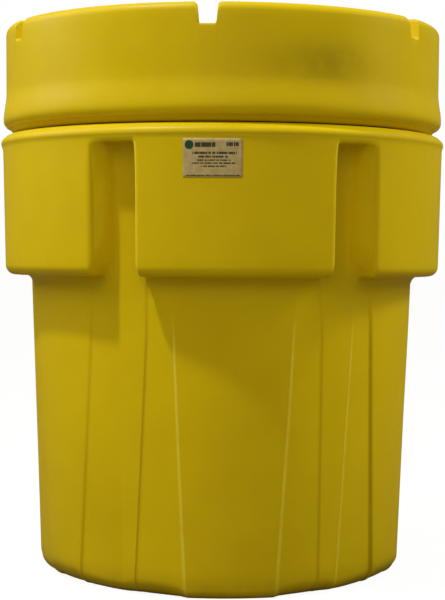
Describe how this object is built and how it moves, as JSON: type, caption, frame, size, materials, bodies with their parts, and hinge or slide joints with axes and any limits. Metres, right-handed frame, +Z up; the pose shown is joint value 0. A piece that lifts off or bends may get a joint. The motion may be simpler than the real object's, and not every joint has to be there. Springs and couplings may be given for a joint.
{
  "type": "overpack salvage drum",
  "caption": "Large rotomoulded salvage drum that a leaking drum is lowered into, with a double-walled screw lid, foam gasket and castellated rim.",
  "frame": {"origin": "on the floor under the drum's axis, at the centre of the underside", "axes": "+Z up along the drum's axis and the lid's screw axis, -Y towards the panel that carries the label, +X to its right"},
  "size_m": [0.82, 0.8198, 0.99],
  "materials": {
    "drum_polyethylene": "semi-matte rotomoulded",
    "lid_polyethylene": "semi-matte rotomoulded",
    "foam_rubber": "closed-cell foam",
    "plug_plastic": "moulded",
    "label_film": "printed self-adhesive film"
  },
  "bodies": {
    "drum": {"drum_body": "drum_polyethylene", "product_label": "label_film"},
    "gasket": {"lid_gasket": "foam_rubber"},
    "lid": {"screw_lid": "lid_polyethylene", "lid_vent_plug": "plug_plastic"}
  },
  "joints": [
    {"name": "lid_rise", "type": "slide", "parent": "drum", "child": "gasket", "axis": [0, 0, 1], "range_m": [0, 0.1001]},
    {"name": "lid_turn", "type": "hinge", "parent": "gasket", "child": "lid", "pos_m": [0, 0, 0.9], "axis": [0, 0, 1], "range_deg": [0, 900]}
  ],
  "couplings": [
    {"joint": "lid_rise", "follows": "lid_turn", "m_per_rad": 0.0063662}
  ]
}
